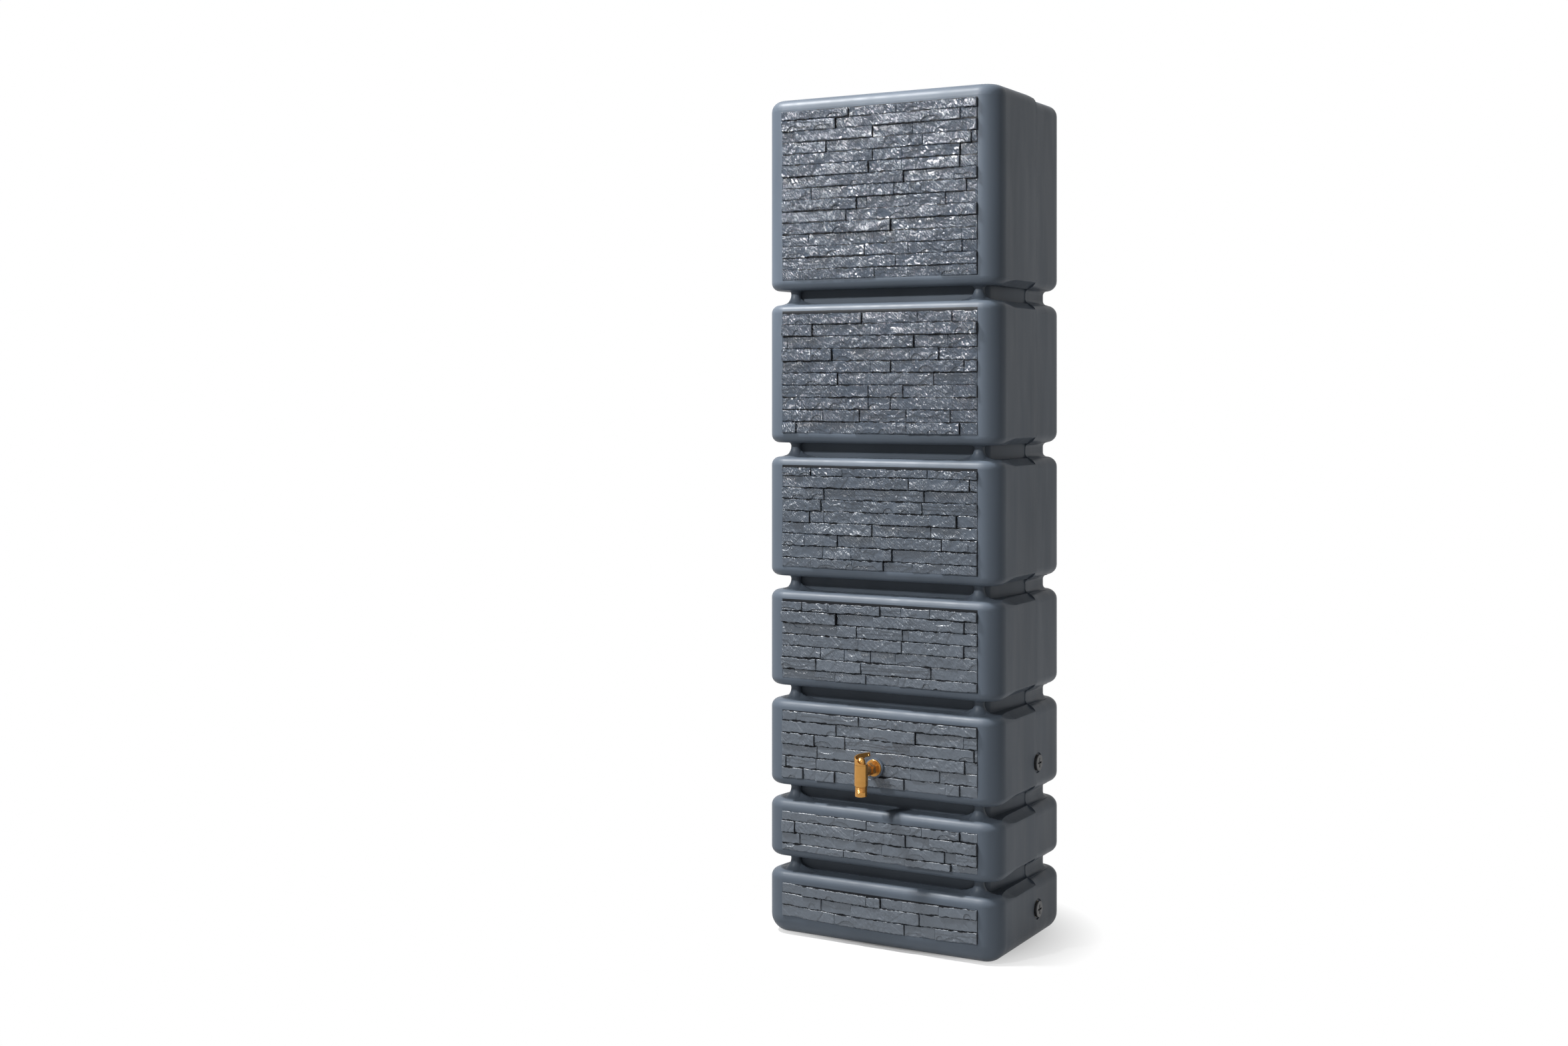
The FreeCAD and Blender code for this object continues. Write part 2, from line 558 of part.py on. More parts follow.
def side_plugs():
    seat = SIDE_X - PLUG_RECESS_DEPTH
    bore = PIPE_THREAD_R + THREAD_CLEARANCE
    parts = {}
    for name, side, z in plug_places():
        pieces = {"plug": screw_plug(seat),
                  "plug_seal": ring(PLUG_HEAD_R - OVERLAP, bore, SEAL_THICKNESS, seat),
                  "plug_bush": ring(BUSH_R, bore, BUSH_LENGTH, seat - BUSH_LENGTH)}
        for piece, shape in pieces.items():
            parts[f"{piece}_{name}"] = place_on_side(shape, side, z)
    return parts


# Tap

def hexagon(flats, length, base):
    corner = flats / math.sqrt(3)
    turns = [math.radians(60 * i + 30) for i in range(6)]
    return extrude([V(corner * math.cos(t), corner * math.sin(t), base) for t in turns], V(0, 0, length))


def spout_profile():
    """Outside of the outlet: rings of the hose thread above a plain end."""
    top = BARREL_BOTTOM
    end = top - SPOUT_LENGTH
    points = [(SPOUT_ROOT_R, top + OVERLAP), (SPOUT_ROOT_R, top - SPOUT_RING_PITCH / 2)]
    z = top - SPOUT_RING_PITCH / 2
    for turn in range(SPOUT_RINGS):
        points += [(PIPE_THREAD_R, z - SPOUT_RING_PITCH * 0.35), (PIPE_THREAD_R, z - SPOUT_RING_PITCH * 0.55),
                   (SPOUT_ROOT_R, z - SPOUT_RING_PITCH * 0.9), (SPOUT_ROOT_R, z - SPOUT_RING_PITCH)]
        z -= SPOUT_RING_PITCH
    rise = PIPE_THREAD_R - SPOUT_ROOT_R
    points += [(PIPE_THREAD_R, z - rise), (PIPE_THREAD_R, end + rise), (SPOUT_ROOT_R, end), (0, end),
               (0, top + OVERLAP)]
    return points


def tap_body():
    """Barrel built about the valve axis with the waterway at height 0."""
    flange_face = TAP_REACH - TAP_PAD_HEIGHT - SEAL_THICKNESS
    barrel = Part.makeCylinder(BARREL_R, BARREL_TOP - BARREL_BOTTOM, V(0, 0, BARREL_BOTTOM))
    barrel = barrel.makeFillet(OVERLAP, edges_at_height(barrel, BARREL_BOTTOM))
    body = barrel.fuse(revolve(spout_profile(), V(0, 0, 0)))
    hex_start = flange_face - TAP_FLANGE_THICKNESS - TAP_HEX_LENGTH
    collar_start = hex_start - TAP_COLLAR_LENGTH
    stem = Part.makeCylinder(TAP_STEM_R, flange_face - OVERLAP)
    cone = Part.makeCone(BARREL_R - 2, TAP_COLLAR_R - 2, collar_start)
    collar = Part.makeCylinder(TAP_COLLAR_R, TAP_COLLAR_LENGTH, V(0, 0, collar_start))
    nut = hexagon(TAP_HEX_FLATS, TAP_HEX_LENGTH + OVERLAP, hex_start)
    flange_front = flange_face - TAP_FLANGE_THICKNESS
    flange = Part.makeCylinder(TAP_FLANGE_R, TAP_FLANGE_THICKNESS, V(0, 0, flange_front))
    flange = flange.makeFillet(OVERLAP, edges_at_height(flange, flange_front))
    tail = Part.makeCylinder(PIPE_THREAD_R, TAP_TAIL_LENGTH + SEAL_THICKNESS, V(0, 0, flange_face))
    water = Part.makeCylinder(TAP_BORE_R, TAP_REACH + BUSH_LENGTH)
    run = stem.multiFuse([cone, collar, nut, flange, tail])
    for shape in (run, water):
        shape.rotate(V(0, 0, 0), V(1, 0, 0), -90)
    body = body.fuse(run)
    valve_floor = BARREL_BOTTOM + VALVE_STEP
    body = body.cut(Part.makeCylinder(VALVE_R, BARREL_TOP - valve_floor + OVERLAP, V(0, 0, valve_floor)))
    body = body.cut(Part.makeCylinder(SPOUT_BORE_R, FAR / 8, V(0, 0, valve_floor - FAR / 8)))
    return body.cut(water)


def valve_plug():
    """Turning plug: a side port that meets the waterway when open, and a bore down to the spout."""
    r = VALVE_R - VALVE_RUNNING_FIT
    foot = BARREL_BOTTOM + VALVE_STEP - BODY_GAP
    lip = foot - VALVE_STEP / 2
    plug = Part.makeCylinder(r, BARREL_TOP + BODY_GAP - lip, V(0, 0, lip))
    plug = plug.fuse(Part.makeCylinder(VALVE_LIP_R, foot - lip, V(0, 0, lip)))
    plug = plug.fuse(Part.makeCylinder(VALVE_DISC_R, VALVE_DISC_THICKNESS, V(0, 0, BARREL_TOP + BODY_GAP)))
    dome_z = DOME_TOP - DOME_R
    plug = plug.fuse(Part.makeCylinder(DOME_R, dome_z - BARREL_TOP, V(0, 0, BARREL_TOP)))
    plug = plug.fuse(Part.makeSphere(DOME_R, V(0, 0, dome_z)))
    plug = plug.cut(Part.makeCylinder(TAP_BORE_R, TAP_BORE_R - lip + OVERLAP, V(0, 0, lip - OVERLAP)))
    plug = plug.cut(Part.makeCylinder(TAP_BORE_R - 0.5, 2 * VALVE_R, V(0, 0, 0), V(1, 0, 0)))
    for z in ORING_HEIGHTS:
        groove = ring(VALVE_R + OVERLAP, VALVE_R - ORING_GROOVE_DEPTH, ORING_GROOVE_WIDTH,
                      z - ORING_GROOVE_WIDTH / 2)
        plug = plug.cut(groove)
    return plug


def oring(z):
    middle = VALVE_R - ORING_GROOVE_DEPTH + ORING_SECTION_R + 0.02
    return Part.makeTorus(middle, ORING_SECTION_R, V(0, 0, z))


def lever_side_view(base):
    """Outline of the blade seen from the side: low at the front, arched over the dome."""
    front = -BARREL_R - OVERLAP
    end = BARREL_R + LEVER_WING_LENGTH
    top = base + LEVER_REAR_RISE
    under = top - LEVER_WING_DEPTH
    lower = [V(0, front, base + LEVER_FRONT_RISE), V(0, front, base), V(0, BARREL_R * 0.6, base),
             V(0, BARREL_R + LEVER_WING_LENGTH / 3, under), V(0, end, under), V(0, end, top)]
    arch = Part.Arc(lower[-1], V(0, 0, base + LEVER_MIDDLE_RISE), lower[0]).toShape()
    return Part.Face(Part.Wire([*Part.makePolygon(lower).Edges, arch]))


def tap_lever():
    """Thumb blade: a wall round the disc's rim that leaves it as a straight wing over the stem."""
    inner = BARREL_R - LEVER_WALL
    base = BARREL_TOP + BODY_GAP + VALVE_DISC_THICKNESS
    sweep = LEVER_FRONT_DEG - (LEVER_LEAVE_DEG - 360)
    wall = Part.makeCylinder(BARREL_R, LEVER_REAR_RISE, V(0, 0, base), V(0, 0, 1), sweep)
    wall = wall.cut(Part.makeCylinder(inner, LEVER_REAR_RISE + 2 * OVERLAP, V(0, 0, base - OVERLAP)))
    wing = box(inner, BARREL_R, -LEVER_WING_LENGTH, 0.0, base, base + LEVER_REAR_RISE)
    for shape in (wall, wing):
        shape.rotate(V(0, 0, 0), V(0, 0, 1), LEVER_LEAVE_DEG)
    side_view = lever_side_view(base)
    side_view.translate(V(-2 * BARREL_R, 0, 0))
    blade = wall.fuse(wing).common(side_view.extrude(V(4 * BARREL_R, 0, 0)))
    cut_place = V(LEVER_FRONT_CUT_R * 0.8, -2 * BARREL_R, base + LEVER_FRONT_CUT_R + OVERLAP)
    blade = blade.cut(Part.makeCylinder(LEVER_FRONT_CUT_R, 2 * BARREL_R, cut_place, V(0, 1, 0)))
    hole_y = LEVER_WING_LENGTH - LEVER_HOLE_R
    hole_z = base + LEVER_REAR_RISE - LEVER_WING_DEPTH / 2
    hole = Part.makeCylinder(LEVER_HOLE_R, 4 * BARREL_R, V(-2 * BARREL_R, hole_y, hole_z), V(1, 0, 0))
    return blade.cut(hole)


def tap():
    valve_axis = V(TAP_X, FRONT_Y - TAP_REACH, TAP_Z)
    parts = {"tap_body": tap_body(), "tap_valve_plug": valve_plug(), "tap_lever": tap_lever()}
    for name, z in zip(("upper", "lower"), ORING_HEIGHTS):
        parts[f"tap_oring_{name}"] = oring(z)
    for shape in parts.values():
        shape.translate(valve_axis)
    bore = PIPE_THREAD_R + THREAD_CLEARANCE
    seat = TAP_PAD_HEIGHT - FRONT_Y
    parts["tap_washer"] = place_on_front(ring(TAP_WASHER_R, bore, SEAL_THICKNESS, seat))
    parts["tap_bush"] = place_on_front(ring(BUSH_R, bore, BUSH_LENGTH, seat - BUSH_LENGTH))
    return parts


# Filling opening's lid

def lid():
    """Screw cap that sits over the collar on its flat seal."""
    inner = OPENING_R + COLLAR_WALL + LID_CLEARANCE
    outer = inner + LID_WALL
    seat = WELL_FLOOR_Z + COLLAR_HEIGHT + LID_SEAL_THICKNESS
    cap = Part.makeCylinder(outer, LID_SKIRT + LID_WALL, V(0, 0, seat - LID_SKIRT))
    cap = cap.makeFillet(LID_EDGE_R, edges_at_height(cap, seat + LID_WALL))
    for i in range(LID_RIBS):
        turn = 2 * math.pi * i / LID_RIBS
        place = V(outer * math.cos(turn), outer * math.sin(turn), seat - LID_SKIRT)
        cap = cap.fuse(Part.makeCylinder(LID_RIB_R, LID_SKIRT - LID_WALL, place))
    cap = cap.cut(Part.makeCylinder(inner, LID_SKIRT + OVERLAP, V(0, 0, seat - LID_SKIRT - OVERLAP)))
    grip = box(-LID_GRIP_LENGTH / 2, LID_GRIP_LENGTH / 2, -LID_GRIP_WIDTH / 2, LID_GRIP_WIDTH / 2,
               seat, seat + LID_WALL + LID_GRIP_HEIGHT)
    grip = grip.makeFillet(LID_EDGE_R, upright_edges(grip))
    grip = grip.makeFillet(LID_EDGE_R, edges_at_height(grip, seat + LID_WALL + LID_GRIP_HEIGHT))
    return cap.fuse(grip)


def lid_seal():
    seal = ring(OPENING_R + COLLAR_WALL, OPENING_R + OVERLAP, LID_SEAL_THICKNESS)
    seal.translate(V(0, 0, WELL_FLOOR_Z + COLLAR_HEIGHT))
    return seal


parts = {"tank_body": tank_body(), "lid": lid(), "lid_seal": lid_seal()}
parts.update(side_plugs())
parts.update(tap())
for name, shape in parts.items():
    shape.removeSplitter().exportStep(f"parts/{name}.step")
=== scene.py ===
import math
import random

import bmesh
import bpy
import numpy as np
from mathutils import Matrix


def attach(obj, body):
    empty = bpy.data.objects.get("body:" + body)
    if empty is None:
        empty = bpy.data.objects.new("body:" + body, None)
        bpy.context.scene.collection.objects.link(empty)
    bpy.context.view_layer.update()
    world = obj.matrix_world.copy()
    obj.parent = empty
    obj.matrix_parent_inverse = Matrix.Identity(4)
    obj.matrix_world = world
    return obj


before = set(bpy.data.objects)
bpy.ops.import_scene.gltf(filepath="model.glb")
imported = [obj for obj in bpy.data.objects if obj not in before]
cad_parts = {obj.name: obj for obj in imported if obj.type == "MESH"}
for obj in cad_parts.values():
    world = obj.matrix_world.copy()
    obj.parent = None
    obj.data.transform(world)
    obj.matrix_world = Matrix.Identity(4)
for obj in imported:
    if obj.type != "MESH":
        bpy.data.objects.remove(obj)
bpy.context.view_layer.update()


# Camera
# Fitted to the panel corners and the outline of the tank in the photograph. It looks level, and its
# frame is shifted down, as an architect's camera is, so that the tank's uprights stay parallel.
PHOTO_WIDTH_PX = 2351
PHOTO_FOCAL_PX = 2878
PHOTO_SHIFT_PX = -196
SENSOR_MM = 36.0
CAMERA_PLACE = (1.8607, -3.8941, 1.203)
CAMERA_TILT = math.radians(90)
CAMERA_TURN = math.radians(29.43)

bpy.ops.object.camera_add(location=CAMERA_PLACE, rotation=(CAMERA_TILT, 0, CAMERA_TURN))
camera = bpy.context.object
camera.name = "photo_camera"
camera.data.sensor_width = SENSOR_MM
camera.data.lens = PHOTO_FOCAL_PX / PHOTO_WIDTH_PX * SENSOR_MM
camera.data.shift_y = PHOTO_SHIFT_PX / PHOTO_WIDTH_PX
bpy.context.scene.camera = camera


# Tank body
# One blow-moulded shell of slate-grey polyethylene, satin and faintly streaked by the mould. Its two
# halves meet at an upright parting plane, which leaves a fine line down each side.
SLATE = (0.046, 0.057, 0.072, 1.0)
SLATE_WORN = (0.056, 0.069, 0.087, 1.0)
# near-black painted shade for the joints between the stones, which are of the same slate
PAINTED_JOINT_SHADE = (0.006, 0.007, 0.009, 1.0)
TANK_SHEEN = 0.15
TANK_HEIGHT = 1.853
PARTING_Y = 0.028
PARTING_LINE = (0.0004, 0.0012)
PANELS_Z = [(0.044, 0.112), (0.190, 0.275), (0.350, 0.498), (0.571, 0.7405),
            (0.817, 1.037), (1.113, 1.376), (1.4505, 1.823)]
PANEL_HALF_WIDTH = 0.235
PANEL_MARGIN = 0.0003
PANEL_IN_FRONT_OF = -0.18
TAP_X = -0.005
TAP_Z = 0.393
TAP_PAD_R = 0.0225
STREAKS = (1, 1, 0.25)
SHEEN_STREAKS = (1, 1, 0.15)
WAVE_STREAKS = (1, 1, 0.12)
NOISE_RANGE = (0.3, 0.7)
TONE_EDGES = (0.35, 0.65)


def add_node(tree, kind, **values):
    """Each value is a setting, or a number or another node's output for one of the inputs."""
    node = tree.nodes.new(kind)
    for key, value in values.items():
        if key not in node.inputs:
            setattr(node, key, value)
        elif isinstance(value, bpy.types.NodeSocket):
            tree.links.new(value, node.inputs[key])
        else:
            node.inputs[key].default_value = value
    return node


def reckon(tree, operation, first, second=None):
    """A sum on another node's output, with a number or a second output."""
    node = add_node(tree, "ShaderNodeMath", operation=operation)
    tree.links.new(first, node.inputs[0])
    if isinstance(second, bpy.types.NodeSocket):
        tree.links.new(second, node.inputs[1])
    elif second is not None:
        node.inputs[1].default_value = second
    return node.outputs["Value"]


def carry_over(tree, field, start, end, low=0.0, high=1.0, curve="LINEAR"):
    """Carries a field over from the range start to end to the range low to high."""
    node = add_node(tree, "ShaderNodeMapRange", interpolation_type=curve, Value=field,
                    **{"From Min": start, "From Max": end, "To Min": low, "To Max": high})
    return node.outputs["Result"]


def mix_colour(tree, share, first, second):
    """Each colour is a value or another node's output."""
    mix = add_node(tree, "ShaderNodeMix", data_type="RGBA", Factor=share, A=first, B=second)
    return mix.outputs["Result"]


def place_parts(tree):
    """X, Y and Z of the place on the tank."""
    place = add_node(tree, "ShaderNodeTexCoord")
    return add_node(tree, "ShaderNodeSeparateXYZ", Vector=place.outputs["Object"]).outputs


def noise_field(tree, scale, detail=2.0, stretch=(1, 1, 1)):
    place = add_node(tree, "ShaderNodeTexCoord")
    stretched = add_node(tree, "ShaderNodeMapping", Scale=stretch, Vector=place.outputs["Object"])
    noise = add_node(tree, "ShaderNodeTexNoise", Scale=scale, Detail=detail,
                     Vector=stretched.outputs["Vector"])
    return noise.outputs["Fac"]


def vary(tree, field, low, high):
    """Noise carried over to a range of values."""
    return carry_over(tree, field, *NOISE_RANGE, low, high)


def two_tone(tree, field, dark, light):
    tones = add_node(tree, "ShaderNodeValToRGB", Fac=field)
    for element, edge, colour in zip(tones.color_ramp.elements, TONE_EDGES, (dark, light)):
        element.position = edge
        element.color = colour
    return tones.outputs["Color"]


def bump_stack(tree, shader, layers):
    """Each layer is a height field, how far it stands out in metres, and its strength."""
    normal = None
    for field, depth, strength in layers:
        bump = add_node(tree, "ShaderNodeBump", Distance=depth, Strength=strength, Height=field)
        if normal:
            tree.links.new(normal, bump.inputs["Normal"])
        normal = bump.outputs["Normal"]
    tree.links.new(normal, shader.inputs["Normal"])


def new_material(name, colour, roughness, specular=0.5, metallic=0.0):
    material = bpy.data.materials.new(name)
    material.use_nodes = True
    shader = material.node_tree.nodes["Principled BSDF"]
    shader.inputs["Base Color"].default_value = colour
    shader.inputs["Roughness"].default_value = roughness
    shader.inputs["Specular IOR Level"].default_value = specular
    shader.inputs["Metallic"].default_value = metallic
    return material, material.node_tree, shader


def dress(node_name, material):
    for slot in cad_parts[node_name].material_slots:
        slot.material = material


def parting_line(tree):
    """1 within half a millimetre of the parting plane, fading to 0."""
    offset = reckon(tree, "SUBTRACT", place_parts(tree)["Y"], PARTING_Y)
    return carry_over(tree, reckon(tree, "ABSOLUTE", offset), *PARTING_LINE, 1.0, 0.0)


def stone_panels(tree):
    """1 on the shell behind the stones' faces, where the joints get painted shade, 0 on the frames
    around them and on the tap's pad.
    """
    place = place_parts(tree)
    panels = add_node(tree, "ShaderNodeValToRGB", Fac=reckon(tree, "DIVIDE", place["Z"], TANK_HEIGHT))
    ramp = panels.color_ramp
    ramp.interpolation = "CONSTANT"
    ramp.elements[1].position = PANELS_Z[-1][1] / TANK_HEIGHT
    ramp.elements[1].color = (0, 0, 0, 1)
    for low, high in PANELS_Z:
        ramp.elements.new(low / TANK_HEIGHT).color = (1, 1, 1, 1)
        if high != PANELS_Z[-1][1]:
            ramp.elements.new(high / TANK_HEIGHT).color = (0, 0, 0, 1)
    front_view = add_node(tree, "ShaderNodeCombineXYZ", X=place["X"], Z=place["Z"])
    from_tap = add_node(tree, "ShaderNodeVectorMath", operation="DISTANCE")
    tree.links.new(front_view.outputs["Vector"], from_tap.inputs[0])
    from_tap.inputs[1].default_value = (TAP_X, 0, TAP_Z)
    off_middle = reckon(tree, "ABSOLUTE", place["X"])
    inside = panels.outputs["Color"]
    for other in (reckon(tree, "LESS_THAN", off_middle, PANEL_HALF_WIDTH + PANEL_MARGIN),
                  reckon(tree, "LESS_THAN", place["Y"], PANEL_IN_FRONT_OF),
                  reckon(tree, "GREATER_THAN", from_tap.outputs["Value"], TAP_PAD_R)):
        inside = reckon(tree, "MULTIPLY", inside, other)
    return inside


moulded_slate, tree, shader = new_material("moulded_slate", SLATE, 0.40, TANK_SHEEN)
slate_tones = two_tone(tree, noise_field(tree, 7.0, 3.0, STREAKS), SLATE, SLATE_WORN)
# Painted shade: the shell in the joints between the stones is painted near-black where shade falls.
slate_and_joint_shade = mix_colour(tree, stone_panels(tree), slate_tones, PAINTED_JOINT_SHADE)
tree.links.new(slate_and_joint_shade, shader.inputs["Base Color"])
satin = vary(tree, noise_field(tree, 30.0, 4.0, SHEEN_STREAKS), 0.40, 0.50)
tree.links.new(satin, shader.inputs["Roughness"])
bump_stack(tree, shader, [
    (noise_field(tree, 9.0, 1.0, WAVE_STREAKS), 0.0016, 0.30),
    (noise_field(tree, 900.0, 2.0), 0.0001, 0.35),
    (parting_line(tree), 0.0006, 0.8),
])
dress("tank_body", moulded_slate)


# Neck flares
# Behind the parting plane the shell runs out of each neck into the tiers in a hollow curve. The solid
# has a plain corner there, so a thin curved strip of the same shell is laid into it, all round the rear.
NECK_BOTTOMS = [0.1405, 0.299, 0.520, 0.763, 1.059, 1.397]
GROOVE_HEIGHT = 0.032
NECK_HALF_WIDTH = 0.255
NECK_REAR_Y = 0.159
NECK_REAR_R = 0.034
FLARE_R = 0.010
FLARE_START_Y = PARTING_Y + 0.0005
FLARE_SUNK = 0.001
FLARE_STEPS = 8
CORNER_STEPS = 10
FLARE_CREASE = math.radians(35)


def neck_path():
    """Plan of the neck's rear, from the parting plane round to the other side: place and outward way."""
    path = [((NECK_HALF_WIDTH, FLARE_START_Y), (1.0, 0.0))]
    for side in (1, -1):
        for step in range(CORNER_STEPS + 1):
            turn = math.radians(90 * step / CORNER_STEPS)
            turn = turn if side == 1 else math.radians(90) + turn
            centre = (side * (NECK_HALF_WIDTH - NECK_REAR_R), NECK_REAR_Y - NECK_REAR_R)
            way = (math.cos(turn), math.sin(turn))
            path.append(((centre[0] + NECK_REAR_R * way[0], centre[1] + NECK_REAR_R * way[1]), way))
    path.append(((-NECK_HALF_WIDTH, FLARE_START_Y), (-1.0, 0.0)))
    return path


def flare_section(base_z, direction):
    """Hollow quarter round: (distance out of the neck, height), closed through the corner behind it."""
    section = []
    for step in range(FLARE_STEPS + 1):
        turn = math.radians(90 * step / FLARE_STEPS)
        out = FLARE_R * (1 - math.sin(turn))
        section.append((out, base_z + direction * FLARE_R * (1 - math.cos(turn))))
    section.append((-FLARE_SUNK, base_z + direction * FLARE_R))
    section.append((-FLARE_SUNK, base_z - direction * FLARE_SUNK))
    section.append((FLARE_R, base_z - direction * FLARE_SUNK))
    return section


def neck_flares(groove, bottom):
    """The strips at the bottom and the top of one groove, as one piece."""
    mesh = bmesh.new()
    for base_z, direction in ((bottom, 1), (bottom + GROOVE_HEIGHT, -1)):
        rows = []
        for (x, y), (way_x, way_y) in neck_path():
            rows.append([mesh.verts.new((x + out * way_x, y + out * way_y, z))
                         for out, z in flare_section(base_z, direction)])
        for row, following in zip(rows, rows[1:]):
            for i in range(len(row)):
                j = (i + 1) % len(row)
                mesh.faces.new((row[i], row[j], following[j], following[i]))
        mesh.faces.new(rows[0])
        mesh.faces.new(rows[-1])
    bmesh.ops.recalc_face_normals(mesh, faces=mesh.faces)
    data = bpy.data.meshes.new(f"neck_flares_{groove + 1}")
    mesh.to_mesh(data)
    mesh.free()
    flares = bpy.data.objects.new(data.name, data)
    bpy.context.collection.objects.link(flares)
    bpy.ops.object.select_all(action="DESELECT")
    flares.select_set(True)
    bpy.context.view_layer.objects.active = flares
    bpy.ops.object.shade_smooth_by_angle(angle=FLARE_CREASE)
    return flares


for groove, bottom in enumerate(NECK_BOTTOMS):
    flares = neck_flares(groove, bottom)
    flares.data.materials.append(moulded_slate)
    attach(flares, "tank")


# Stone-look fronts
# Courses of split slate, moulded in the same shell: each tier has a sunk panel full of stones. The solid
# holds each stone as a plain block; here each block is found again and gets its cleft, chipped face.
PANEL_FLOOR_Y = -0.1848
TIER_TOPS = [0.1405, 0.299, 0.520, 0.763, 1.059, 1.397, 1.853]

# what counts as a stone's front on the solid, and how its slant is read
FACING_FRONT = -0.98
MERGED_UNDER = 0.00001
BEHIND_FLOOR = 0.0004
BESIDE_PANEL = 0.0005
STANDS_OUT_FROM = 0.0003
STONE_HEIGHTS = (0.010, 0.040)
NEAR_TAP = 0.002
AT_END = 0.0001
RISE_LIMIT = 0.005
UPRIGHT_SHARE = 0.8


def on_stone(face):
    """True for a face that looks forwards, inside the panels' width and not behind their floor."""
    return (face.normal.y < FACING_FRONT and face.calc_center_median().y < PANEL_FLOOR_Y + BEHIND_FLOOR
            and all(abs(corner.co.x) < PANEL_HALF_WIDTH + BESIDE_PANEL for corner in face.verts))


def solid_stones():
    """Plane and ends of every stone on the tank's front, read off the solid's faces."""
    mesh = bmesh.new()
    mesh.from_mesh(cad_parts["tank_body"].data)
    bmesh.ops.remove_doubles(mesh, verts=mesh.verts, dist=MERGED_UNDER)
    left = {face for face in mesh.faces if on_stone(face)}
    found = []
    while left:
        group = [left.pop()]
        for face in group:
            for edge in face.edges:
                for other in edge.link_faces:
                    if other in left:
                        left.remove(other)
                        group.append(other)
        points = np.array([corner.co for face in group for corner in face.verts])
        low, high = points.min(0), points.max(0)
        middle = (low + high) / 2
        on_tap = math.hypot(middle[0] - TAP_X, middle[2] - TAP_Z) < NEAR_TAP
        stands_out = low[1] < PANEL_FLOOR_Y - STANDS_OUT_FROM
        if stands_out and STONE_HEIGHTS[0] < high[2] - low[2] < STONE_HEIGHTS[1] and not on_tap:
            found.append(stone_plane(points, low, high))
    mesh.free()
    return sorted(found, key=lambda stone: (round(stone["z"], 3), stone["x"]))


def stone_plane(points, low, high):
    columns = np.column_stack([points[:, 0], points[:, 2], np.ones(len(points))])
    plane = np.linalg.lstsq(columns, points[:, 1], rcond=None)[0]
    at_left = points[points[:, 0] < low[0] + AT_END][:, 2]
    at_right = points[points[:, 0] > high[0] - AT_END][:, 2]
    rise = at_right.max() - at_left.max()
    shorter_end = min(np.ptp(at_left), np.ptp(at_right))
    if abs(rise) > RISE_LIMIT or shorter_end < UPRIGHT_SHARE * (high[2] - low[2]) - abs(rise):
        rise = 0.0
    return {"x": low[0], "length": high[0] - low[0], "z": low[2] + max(0.0, -rise),
            "height": high[2] - low[2] - abs(rise), "rise": rise, "plane": plane}


def block_front(stone, x, z):
    """Y of the plain block's front at a place on the tank."""
    slope_x, slope_z, base = stone["plane"]
    return slope_x * x + slope_z * z + base


# the slate's own texture: humps of noise, each with its size and how far it stands out
LATTICE_SIZE = 512
LATTICE = np.random.default_rng(5).uniform(-1.0, 1.0, (LATTICE_SIZE, LATTICE_SIZE))
LATTICE_START = (97.0, 53.0)
LATTICE_SHIFT = (31.7, 17.3)
WAVE_CELL, WAVE_DEPTH, WAVE_SQUASH = 0.022, 0.00045, 1.6
STROKE_CELL, STROKE_DEPTH, STROKE_STRETCH = 0.0042, 0.00085, 0.26
GRIT_CELL, GRIT_DEPTH = 0.0030, 0.00035
STROKE_COS, STROKE_SIN = 0.57, 0.82


def smooth_noise(x, z, cell, shift):
    """Smooth noise between -1 and 1 whose humps are about a cell wide."""
    fx = x / cell + LATTICE_START[0] + LATTICE_SHIFT[0] * shift
    fz = z / cell + LATTICE_START[1] + LATTICE_SHIFT[1] * shift
    ix = np.floor(fx).astype(int)
    iz = np.floor(fz).astype(int)
    tx = fx - ix
    tz = fz - iz
    tx = tx * tx * (3 - 2 * tx)
    tz = tz * tz * (3 - 2 * tz)
    left, right = ix % LATTICE_SIZE, (ix + 1) % LATTICE_SIZE
    below, above = iz % LATTICE_SIZE, (iz + 1) % LATTICE_SIZE
    near = LATTICE[left, below] * (1 - tx) + LATTICE[right, below] * tx
    far = LATTICE[left, above] * (1 - tx) + LATTICE[right, above] * tx
    return near * (1 - tz) + far * tz


def cleft_texture(x, z, shift, roughness):
    """Strokes of split slate that run down to the right, with a broader wave and some grit."""
    along = STROKE_COS * x - STROKE_SIN * z
    across = STROKE_SIN * x + STROKE_COS * z
    wave = smooth_noise(x, z * WAVE_SQUASH, WAVE_CELL, shift + 1)
    strokes = 1.0 - 2.0 * np.abs(smooth_noise(along * STROKE_STRETCH, across, STROKE_CELL, shift + 2))
    grit = smooth_noise(x, z, GRIT_CELL, shift + 3)
    return roughness * (WAVE_DEPTH * wave + STROKE_DEPTH * strokes + GRIT_DEPTH * grit)


# breaks in the face: sizes and depths in metres, turns in radians, shares of the stone's height
LEDGE_STEP, LEDGE_DEPTH, LEDGES_SUNK = 0.0012, 0.0008, 0.0006
LEDGE_WANDER, LEDGE_WANDER_CELL = 0.0035, 0.03
LEDGE_RAG, LEDGE_RAG_CELL = 0.0012, 0.006
FRACTURE_TURNS = (0.5, 2.6)
FRACTURE_STEP = 0.0010
FRACTURE_FADES = (0.008, 0.03)
FRACTURE_DEPTHS = (0.0004, 0.0012)
CHIPPED_FROM_LENGTH = 0.05
CHIP_COUNTS = (0, 0, 1, 1, 2, 3)
CHIP_SPREADS = (0.008, 0.024)
CHIP_REACHES = (0.25, 0.55)
CHIP_DEPTH, CHIP_BOWL = 0.0012, 0.0010
RAG_DEPTH, RAG_CELL = 0.0022, 0.011
FINE_RAG_DEPTH, FINE_RAG_CELL = 0.0012, 0.0035


